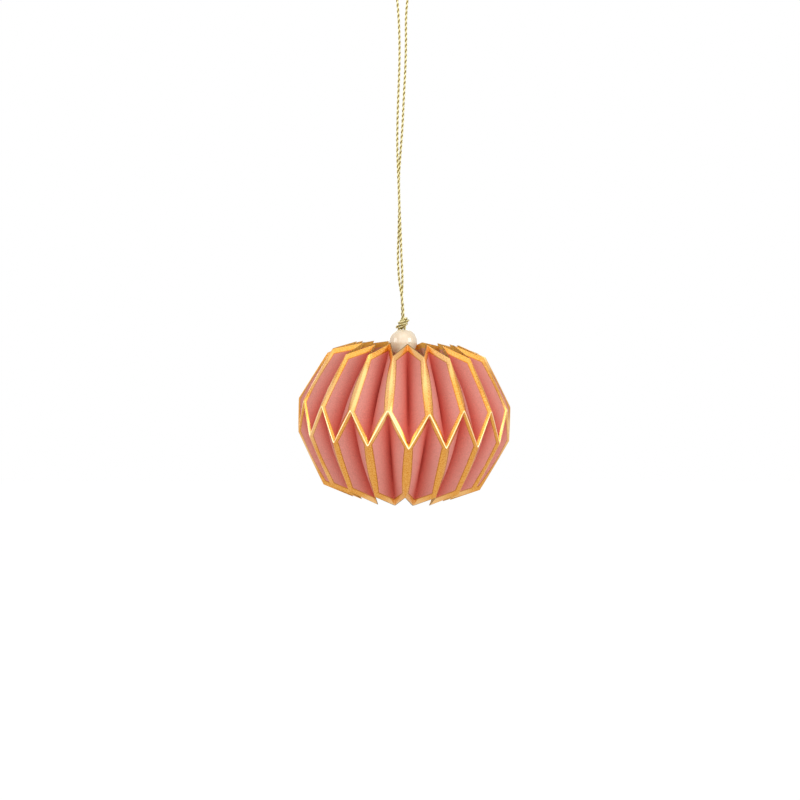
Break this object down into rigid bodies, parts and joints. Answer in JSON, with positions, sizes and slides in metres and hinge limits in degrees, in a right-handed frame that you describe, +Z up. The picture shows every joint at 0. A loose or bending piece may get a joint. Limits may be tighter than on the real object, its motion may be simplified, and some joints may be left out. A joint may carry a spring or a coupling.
{
  "type": "pleated paper hanging ornament",
  "caption": "Pleated paper ball of long hexagonal cells with foil-edged folds, hung by a wooden bead on a doubled twisted metallic cord that ends in a loop.",
  "frame": {"origin": "inner top of the cord's hanging loop, where a hook carries it", "axes": "+Z up along the hanging cord, -Y towards the front of the picture, +X to the picture's right"},
  "size_m": [0.08, 0.08, 0.199],
  "materials": {
    "rose_paper": "matte, with metallic gold foil along the outer folds and cut edges",
    "white_card": "matte",
    "pale_wood": "lacquered",
    "gold_cord": "twisted metallic yarn",
    "magnet_metal": "plated"
  },
  "bodies": {
    "root": {"pleated_shade": "rose_paper", "hanger_strip": "white_card", "wooden_bead": "pale_wood", "upper_knot": "gold_cord", "cord_tail": "gold_cord", "lower_knot": "gold_cord", "hanging_cord": "gold_cord", "closing_tab_left": "white_card", "closing_tab_right": "white_card", "closing_magnet_left": "magnet_metal", "closing_magnet_right": "magnet_metal"}
  },
  "joints": []
}
